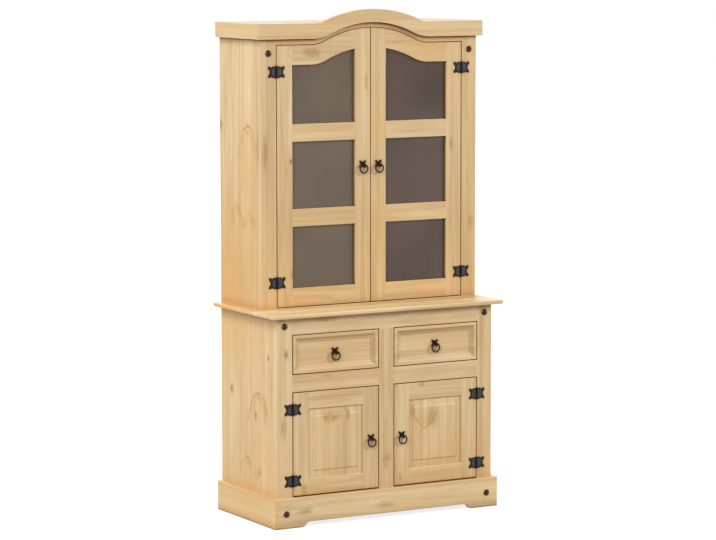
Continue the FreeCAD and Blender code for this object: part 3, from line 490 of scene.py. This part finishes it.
# Boards picked for their place in the case
boardLooks = {
    "upper_post_left": [{"warmth": 0.0, "tone": 1.02, "figure": 0.6}],
    "upper_post_right": [{"warmth": 0.4, "tone": 0.95}],
    "lower_post_right": [{"tone": 0.94, "warmth": 0.4}],
    "drawer_rails": [{"warmth": 0.6, "tone": 0.96}],
    "plinth_front": [{"warmth": 0.4, "tone": 1.08}],
    "plinth_left": [{"warmth": 0.4, "tone": 1.0}],
    "cornice_left": [{"tone": 0.95}],
    "lower_door_left_panel": [{"share": 1.1, "figure": 0.45, "tone": 1.0, "warmth": 0.8},
                              {"figure": 0.5, "tone": 0.98, "warmth": 0.9},
                              {"share": 0.9, "figure": 0.4, "tone": 1.0, "warmth": 0.7}],
    "lower_door_right_panel": [{"share": 1.2, "figure": 0.5, "tone": 0.99, "warmth": 0.9},
                               {"figure": 0.45, "tone": 1.0, "warmth": 0.8},
                               {"share": 0.9, "figure": 0.5, "tone": 0.98, "warmth": 0.8}],
    "drawer_right_front": [{"tone": 0.96, "warmth": 0.5}],
}

# Pieces whose top nobody wipes
dustyTops = ["upper_top", "cornice_front", "cornice_left", "cornice_right"]


def splitSolids(mesh):
    # The node's loose triangles are welded, then parted where more than two faces share an edge
    welded = bmesh.new()
    welded.from_mesh(mesh)
    bmesh.ops.remove_doubles(welded, verts=welded.verts, dist=weldReach)
    welded.faces.ensure_lookup_table()
    seen = set()
    boards = []
    for start in range(len(welded.faces)):
        if start in seen:
            continue
        seen.add(start)
        group, waiting = [start], [start]
        while waiting:
            for edge in welded.faces[waiting.pop()].edges:
                if len(edge.link_faces) == 2:
                    for face in edge.link_faces:
                        if face.index not in seen:
                            seen.add(face.index)
                            group.append(face.index)
                            waiting.append(face.index)
        kept = set(group)
        board = welded.copy()
        others = [face for face in board.faces if face.index not in kept]
        bmesh.ops.delete(board, geom=others, context="FACES")
        boards.append(board)
    welded.free()
    return boards


def cutAcross(board, axis, level):
    # An edge line across the board at one level of an axis
    point, normal = Vector(), Vector()
    point[axis], normal[axis] = level, 1
    bmesh.ops.bisect_plane(board, geom=board.verts[:] + board.edges[:] + board.faces[:], dist=weldReach,
                           plane_co=point, plane_no=normal)


def joinPart(whole, part):
    # One board or fitting goes into the mesh of its piece
    mesh = bpy.data.meshes.new("part")
    part.to_mesh(mesh)
    part.free()
    whole.from_mesh(mesh)
    bpy.data.meshes.remove(mesh)


def boxOf(board):
    low = Vector(min(corner.co[axis] for corner in board.verts) for axis in range(3))
    high = Vector(max(corner.co[axis] for corner in board.verts) for axis in range(3))
    return low, high


def touches(box, other):
    return all(box[0][axis] < other[1][axis] + touchReach and other[0][axis] < box[1][axis] + touchReach
               for axis in range(3))


def easeEdges(board, radius, steps, neighbours):
    # Free edges are rounded, and those that meet another board of the same body stay tight
    bmesh.ops.dissolve_limit(board, angle_limit=boardCut["flatTurn"], use_dissolve_boundaries=False,
                             verts=board.verts, edges=board.edges)
    low, high = boxOf(board)
    longest = max(range(3), key=lambda axis: high[axis] - low[axis])
    ends = {round(level, 6) for box in neighbours for level in (box[0][longest], box[1][longest])}
    for level in sorted(ends):
        if low[longest] + radius < level < high[longest] - radius:
            cutAcross(board, longest, level)
    free = []
    for edge in board.edges:
        if edge.is_manifold and edge.calc_face_angle() > boardCut["easedTurn"]:
            middle = (edge.verts[0].co + edge.verts[1].co) / 2
            if not any(touches((middle, middle), box) for box in neighbours):
                free.append(edge)
    bmesh.ops.bevel(board, geom=free, offset=radius, offset_type="OFFSET", affect="EDGES", segments=steps,
                    profile=0.5, material=-1, clamp_overlap=True, loop_slide=True)


def shadeBoard(board):
    # Curves are smooth; an edge stays crisp where faces turn, or where a broad flat meets narrow facets
    for face in board.faces:
        face.smooth = True
    for edge in board.edges:
        areas = sorted(face.calc_area() for face in edge.link_faces)
        turned = edge.is_manifold and edge.calc_face_angle() > boardCut["crispTurn"]
        edge.smooth = not (turned or len(areas) != 2 or areas[1] > boardCut["broadShare"] * areas[0])


def inSpan(span, spot):
    return span[0] < spot.x < span[1] and span[2] < spot.z < span[3]


def layGrain(board, chance, along, staves=None, panelSpan=None):
    # Each stave gets its own tree: the grain attribute is the place in that tree, length first
    low, high = boxOf(board)
    span = high - low
    across, through = sorted((axis for axis in range(3) if axis != along), key=lambda axis: -span[axis])
    if staves is None:
        staves = [{}]
        if span[across] > boardCut["widestBoard"]:
            count = round(span[across] / chance.uniform(*boardCut["staveWidth"]))
            staves = [{"share": chance.uniform(*boardCut["staveShare"])} for _ in range(count)]
    total = sum(stave.get("share", 1) for stave in staves)
    seams = [low[across]]
    for stave in staves:
        seams.append(seams[-1] + span[across] * stave.get("share", 1) / total)
    for seam in seams[1:-1]:
        cutAcross(board, across, seam)
    trees = []
    for place, stave in enumerate(staves):
        middle = (seams[place] + seams[place + 1]) / 2
        width = seams[place + 1] - seams[place]
        trees.append({
            "seam": seams[place + 1],
            "start": chance.uniform(*boardCut["treePlace"]),
            "pith": middle + chance.uniform(-1, 1) * boardCut["pithOffset"] * width,
            "depth": chance.choice((-1, 1)) * chance.uniform(*boardCut["pithDepth"]),
            "lean": chance.uniform(-1, 1) * boardCut["tilt"],
            "slant": chance.uniform(-1, 1) * boardCut["slant"],
            "look": (stave.get("tone", chance.uniform(*boardCut["tone"])),
                     stave.get("warmth", chance.random()),
                     stave.get("figure", chance.uniform(*boardCut["figure"])))})
    # The mask of where wax and painted shade may gather
    waxAndShade = board.loops.layers.float.new("keepsWaxAndShade")
    grain = board.loops.layers.float_vector.new("grain")
    look = board.loops.layers.float_vector.new("board")
    centre = (low + high) / 2
    for face in board.faces:
        middle = face.calc_center_median()[across]
        tree = next((tree for tree in trees if middle < tree["seam"]), trees[-1])
        for loop in face.loops:
            spot = loop.vert.co
            length = spot[along] - centre[along]
            loop[grain] = (length + tree["start"],
                           spot[across] - tree["pith"] + tree["slant"] * length,
                           spot[through] - centre[through] + tree["depth"] + tree["lean"] * length)
            loop[look] = tree["look"]
            loop[waxAndShade] = 0.0 if panelSpan and inSpan(panelSpan, spot) else 1.0


def shadeSlopes(board, paintedShades, panelSpan=None):
    # Painted shade where a slope or an eased edge looks down, painted light where it looks up, and either at
    # its sides
    look = board.loops.layers.float_vector["board"]
    steep, flat = slopeTilt
    for face in board.faces:
        tilt, middle = face.normal, face.calc_center_median()
        if tilt.y > -steep or tilt.y < -flat:
            continue
        if panelSpan and not inSpan(panelSpan, middle):
            continue
        levels = [loop.vert.co.y for loop in face.loops]
        rim, field = paintedShades["sides" if abs(tilt.x) > steep else "top" if tilt.z < 0 else "foot"]
        for loop in face.loops:
            share = (loop.vert.co.y - min(levels)) / max(max(levels) - min(levels), weldReach)
            loop[look].x *= rim + (field - rim) * share


def meshToPiece(name, board, node, material):
    mesh = bpy.data.meshes.new(name)
    board.to_mesh(mesh)
    board.free()
    mesh.materials.append(material)
    piece = bpy.data.objects.new(name, mesh)
    bpy.context.scene.collection.objects.link(piece)
    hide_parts(node)
    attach(piece, bodyOf[node])
    return piece


def panelSpanOf(node):
    # Round a door's raised panel the joints get no wax and no painted shade, and its eased edges get painted
    # shade and light: its reach in x and z
    panel = next((mate for mate in bodies[bodyOf[node]] if mate.endswith("_panel")), None)
    if panel is None:
        return None
    corners = [corner.co for corner in nodes[panel].data.vertices]
    across, upward = [spot.x for spot in corners], [spot.z for spot in corners]
    margin = boardCut["panelMargin"]
    return min(across) - margin, max(across) + margin, min(upward) - margin, max(upward) + margin


def makeWoodPiece(node):
    # Each board is eased, cut into staves, toned (with painted shade and light on the slopes of drawers and
    # round panels) and joined to the others of its node
    panelSpan = panelSpanOf(node)
    whole = bmesh.new()
    boards = boardsOf[node]
    boxes = boxesOf[node]
    mates = [box for mate in bodies[bodyOf[node]] if mate != node for box in boxesOf.get(mate, [])]
    for place, board in enumerate(boards):
        chance = random.Random(f"{node} {place}")
        low, high = boxes[place]
        span = high - low
        along = grainAlong.get(node, max(range(3), key=lambda axis: span[axis]))
        radius = min(boardCut["edgeRadius"], min(span) * boardCut["thinShare"])
        neighbours = [box for box in boxes[:place] + boxes[place + 1:] + mates
                      if touches(box, boxes[place])]
        easeEdges(board, radius, boardCut["roundedSteps"], neighbours)
        layGrain(board, chance, along, boardLooks.get(node), panelSpan)
        if node.startswith("drawer") and node.endswith("_front"):
            shadeSlopes(board, slopePaintedShade)
        elif panelSpan:
            shadeSlopes(board, shoulderPaintedShade, panelSpan)
        shadeBoard(board)
        joinPart(whole, board)
    piece = meshToPiece(node + "_wood", whole, node, waxedPine)
    if node in dustyTops:
        # Faces that look up take the second material
        piece.data.materials.append(dustyPine)
        for face in piece.data.polygons:
            if face.normal.z > 0.5:
                face.material_index = 1


boardsOf = {node: splitSolids(nodes[node].data) for node in nodes if slotOf[node] == "pine"}
boxesOf = {node: [boxOf(board) for board in boards] for node, boards in boardsOf.items()}
for node in boardsOf:
    makeWoodPiece(node)
print("boards laid")


# Glass

pane = {
    # One glass in lit and shaded copies: the left door's panes carry painted light, the right door's painted
    # shade
    "leftTintPaintedLighter": ("7D6A57", "72604F"),
    "rightTintPaintedDarker": ("665145", "564439"),
    "cover": 0.72,
    "roughness": (0.03, 0.07),
    "waveLength": 0.16,
    "waveHeight": 0.0004,
    "refraction": 1.52,
}


def makeSmokedGlass(name, tints):
    # Smoked drawn glass: a brown-grey tint that drifts a little, long shallow waves, faint wiping marks
    material, tree = newMaterial(name)
    place = addNode(tree, "TexCoord").outputs["Object"]
    drift = addNode(tree, "TexNoise", {"Vector": place, "Scale": 1 / pane["waveLength"], "Detail": 0.0})
    share = addNode(tree, "MapRange", {
        "Value": drift, "From Min": 0.25, "From Max": 0.75}, interpolation_type="SMOOTHSTEP")
    tint = addNode(tree, "MixRGB", {0: share, 1: linear(tints[0]), 2: linear(tints[1])})
    wiped = addNode(tree, "TexNoise", {"Vector": place, "Scale": 30.0, "Detail": 3.0, "Distortion": 1.5})
    low, high = pane["roughness"]
    gloss = addNode(tree, "MapRange", {
        "Value": wiped, "From Min": 0.35, "From Max": 0.65, "To Min": low, "To Max": high})
    wave = addNode(tree, "Bump", {"Height": drift, "Strength": 0.3, "Distance": pane["waveHeight"]})
    surface = addNode(tree, "BsdfPrincipled", {
        "Base Color": tint, "Alpha": pane["cover"], "Roughness": gloss, "IOR": pane["refraction"],
        "Normal": wave})
    addNode(tree, "OutputMaterial", {"Surface": surface})
    return material


panes = {"left": makeSmokedGlass("smokedGlassLeftPaintedLighter", pane["leftTintPaintedLighter"]),
         "right": makeSmokedGlass("smokedGlassRightPaintedDarker", pane["rightTintPaintedDarker"])}
for node in nodes:
    if slotOf[node] == "glass":
        nodes[node].data.materials.clear()
        nodes[node].data.materials.append(panes["left" if "left" in node else "right"])
print("panes set")


# Iron

iron = {
    "scale": "322D2A",
    "rust": "1A120C",
    "wearAndSheen": "404648",
    "brown": "4A3424",
    "edgeRadius": 0.0003,
    "hammerMark": 0.004,
    "hammerDepth": 0.0006,
    "wearAndSheenEdge": (0.8, 1.05),
    "wearAndSheenShare": 0.85,
    "metallic": 0.85,
    "roughness": (0.38, 0.6),
    "domeRoughness": (0.2, 0.36),
}


def makeBlackenedIron(name, face, hollow, roughness, wearAndSheen=None):
    # Wrought iron, forged and blackened in oil: softly hammered, brown in its hollows, and grey in the middle
    # of the leaves, partly worn and partly a painted sheen
    material, tree = newMaterial(name)
    place = addNode(tree, "TexCoord").outputs["Object"]
    marks = addNode(tree, "TexNoise", {"Vector": place, "Scale": 1 / iron["hammerMark"], "Detail": 1.0})
    speckle = addNode(tree, "TexNoise", {"Vector": place, "Scale": 420.0, "Detail": 3.0, "Roughness": 0.6})
    share = addNode(tree, "MapRange", {"Value": speckle, "From Min": 0.35, "From Max": 0.65})
    colour = addNode(tree, "MixRGB", {0: share, 1: linear(face), 2: linear(hollow)})
    if wearAndSheen:
        spot = addNode(tree, "Attribute", attribute_name="leafPlace").outputs["Vector"]
        away = addNode(tree, "VectorMath", {0: spot}, operation="LENGTH").outputs["Value"]
        near, far = iron["wearAndSheenEdge"]
        middle = addNode(tree, "MapRange", {
            "Value": away, "From Min": near, "From Max": far, "To Min": iron["wearAndSheenShare"], "To Max": 0.0},
            interpolation_type="SMOOTHSTEP")
        colour = addNode(tree, "MixRGB", {0: middle, 1: colour, 2: linear(wearAndSheen)})
    low, high = roughness
    gloss = addNode(tree, "MapRange", {
        "Value": speckle, "From Min": 0.3, "From Max": 0.7, "To Min": low, "To Max": high})
    bump = addNode(tree, "Bump", {"Height": marks, "Strength": 0.5, "Distance": iron["hammerDepth"]})
    surface = addNode(tree, "BsdfPrincipled", {
        "Base Color": colour, "Metallic": iron["metallic"], "Roughness": gloss, "Normal": bump})
    addNode(tree, "OutputMaterial", {"Surface": surface})
    return material


blackenedIron = makeBlackenedIron("blackenedIron", iron["scale"], iron["rust"], iron["roughness"])
wearAndSheenIron = makeBlackenedIron("wearAndSheenIron", iron["scale"], iron["rust"], iron["roughness"], iron["wearAndSheen"])
brownIron = makeBlackenedIron("brownIron", iron["brown"], iron["rust"], iron["domeRoughness"])

leaf = {
    "hingeLine": 0.401,
    "disc": (0.68, 0.98),
    "leastFlat": 2e-4,
    "rim": 0.0026,
    "crown": 0.0005,
    "nailRadius": 0.0021,
    "nailRise": 0.45,
    "nailSpots": ((0.30, 0.83), (0.30, 0.17), (0.62, 0.5)),
}


def crownLeaf(plate, outward):
    # The leaf's flat is hammered up inside a dark rim, and three nails hold it
    faces = [face for face in plate.faces if face.normal.y < -0.99 and face.calc_area() > leaf["leastFlat"]]
    if not faces:
        return
    level = faces[0].calc_center_median().y
    low, high = boxOf(plate)
    bmesh.ops.inset_region(plate, faces=faces, thickness=leaf["rim"], depth=leaf["crown"],
                           use_even_offset=True)
    for face in faces:
        # The raised flat takes the iron whose grey middle is wear and a painted sheen
        face.material_index = 1
    width, height = high.x - low.x, high.z - low.z
    for near, up in leaf["nailSpots"]:
        x = low.x + near * width if outward < 0 else high.x - near * width
        spot = Matrix.Translation((x, level - leaf["crown"], low.z + up * height))
        spot = spot @ Matrix.Diagonal((1, leaf["nailRise"], 1, 1))
        bmesh.ops.create_icosphere(plate, subdivisions=2, radius=leaf["nailRadius"], matrix=spot)


def markLeaf(plate, low, high):
    # The leafPlace attribute runs from the hinge line outwards and up: at length 1 the grey oval of wear and
    # painted sheen ends
    spots = plate.loops.layers.float_vector.new("leafPlace")
    hinge, middle = leaf["hingeLine"], (low.z + high.z) / 2
    reach = max(abs(abs(low.x) - hinge), abs(abs(high.x) - hinge)) * leaf["disc"][0]
    rise = (high.z - low.z) / 2 * leaf["disc"][1]
    for face in plate.faces:
        for loop in face.loops:
            corner = loop.vert.co
            loop[spots] = ((abs(corner.x) - hinge) / reach, 0, (corner.z - middle) / rise)


def makeIronPiece(node):
    whole = bmesh.new()
    for metal in splitSolids(nodes[node].data):
        low, high = boxOf(metal)
        if "ring" not in node and "dome" not in node:
            easeEdges(metal, iron["edgeRadius"], 2, [])
        if "hinges" in node or "leaves" in node:
            away = -1 if abs(high.x) > abs(low.x) else 1
            crownLeaf(metal, away)
            markLeaf(metal, low, high)
        shadeBoard(metal)
        joinPart(whole, metal)
    piece = meshToPiece(node + "_iron", whole, node, brownIron if "dome" in node else blackenedIron)
    piece.data.materials.append(wearAndSheenIron)


for node in nodes:
    if slotOf[node] == "iron":
        makeIronPiece(node)
print("hardware blackened")


# Floor, light and camera

studio = {
    "floorSize": 60.0,
    "floorColour": "9E9C97",
    "floorLift": (0.80, 1.0),
    "liftReach": (0.6, 2.4),
    "worldStrength": 0.36,
    "lamps": {
        "frontLeftLight": {"place": (-18.5, -13.5, 9.6), "aim": (0, 0, 1.1), "size": 9.0, "power": 2480},
        "frontRightLight": {"place": (18.5, -13.5, 9.6), "aim": (0, 0, 1.1), "size": 9.0, "power": 3120},
        "leftLight": {"place": (-9.5, 0.6, 13.0), "aim": (0, 0, 1.1), "size": 6.0, "power": 1290},
        "backLight": {"place": (6.0, 16.0, 9.0), "aim": (0, 0, 1.1), "size": 8.0, "power": 1000},
    },
}


def addSeen(tree):
    # 1 for the rays of the camera, of a mirror image and through glass
    ray = addNode(tree, "LightPath").outputs
    seen = ray["Is Camera Ray"]
    for kind in ("Is Glossy Ray", "Is Transmission Ray"):
        seen = addNode(tree, "Math", {0: seen, 1: ray[kind]}, operation="MAXIMUM")
    return seen


def makeFloor():
    # Pale painted floor that fades into the white ground of the photo
    material, tree = newMaterial("paleFloor")
    paint = addNode(tree, "BsdfDiffuse", {"Color": linear(studio["floorColour"])})
    seen = addSeen(tree)
    place = addNode(tree, "TexCoord").outputs["Object"]
    away = addNode(tree, "VectorMath", {0: place}, operation="LENGTH").outputs["Value"]
    (near, far), (dim, bright) = studio["liftReach"], studio["floorLift"]
    lift = addNode(tree, "MapRange", {
        "Value": away, "From Min": near, "From Max": far, "To Min": dim, "To Max": bright},
        interpolation_type="SMOOTHSTEP")
    lift = addNode(tree, "Math", {0: seen, 1: lift}, operation="MULTIPLY")
    glow = addNode(tree, "Emission", {"Color": (1, 1, 1, 1), "Strength": lift})
    surface = addNode(tree, "AddShader", {0: paint, 1: glow})
    addNode(tree, "OutputMaterial", {"Surface": surface})
    floor = bmesh.new()
    bmesh.ops.create_grid(floor, x_segments=1, y_segments=1, size=studio["floorSize"] / 2)
    mesh = bpy.data.meshes.new("studioFloor")
    floor.to_mesh(mesh)
    floor.free()
    mesh.materials.append(material)
    piece = bpy.data.objects.new("studioFloor", mesh)
    bpy.context.scene.collection.objects.link(piece)


def makeWorld():
    # White where it is seen, dim as a light, so that the lamps draw the shapes
    world = bpy.data.worlds.new("studioWorld")
    world.use_nodes = True
    tree = world.node_tree
    tree.nodes.clear()
    strength = addNode(tree, "MapRange", {
        "Value": addSeen(tree), "To Min": studio["worldStrength"], "To Max": 1.0})
    backdrop = addNode(tree, "Background", {"Color": (1, 1, 1, 1), "Strength": strength})
    addNode(tree, "OutputWorld", {"Surface": backdrop})
    bpy.context.scene.world = world


def makeLamp(name, lamp):
    light = bpy.data.lights.new(name, "AREA")
    light.shape = "DISK"
    light.size = lamp["size"]
    light.energy = lamp["power"]
    piece = bpy.data.objects.new(name, light)
    piece.location = lamp["place"]
    piece.rotation_euler = (Vector(lamp["aim"]) - Vector(lamp["place"])).to_track_quat("-Z", "Y").to_euler()
    bpy.context.scene.collection.objects.link(piece)


# The camera solved from the cabinet's straight edges in the photo: metres, degrees and millimetres
viewpoint = {
    "place": (-5.5072, -9.7303, 2.1964),
    "turn": 29.495,
    "down": 6.50,
    "roll": 0.05,
    "lens": 148.01,
    "sensor": 36,
    "farthest": 200,
}


def makeCamera():
    camera = bpy.data.cameras.new("photoCamera")
    camera.sensor_fit = "HORIZONTAL"
    camera.sensor_width = viewpoint["sensor"]
    camera.lens = viewpoint["lens"]
    camera.clip_end = viewpoint["farthest"]
    piece = bpy.data.objects.new("photoCamera", camera)
    turn = (Matrix.Rotation(radians(-viewpoint["turn"]), 4, "Z")
            @ Matrix.Rotation(radians(90 - viewpoint["down"]), 4, "X")
            @ Matrix.Rotation(radians(-viewpoint["roll"]), 4, "Z"))
    piece.matrix_world = Matrix.Translation(viewpoint["place"]) @ turn
    bpy.context.scene.collection.objects.link(piece)
    bpy.context.scene.camera = piece


makeFloor()
makeWorld()
for name, lamp in studio["lamps"].items():
    makeLamp(name, lamp)
makeCamera()
bpy.context.scene.view_settings.view_transform = "Standard"
print("studio ready")
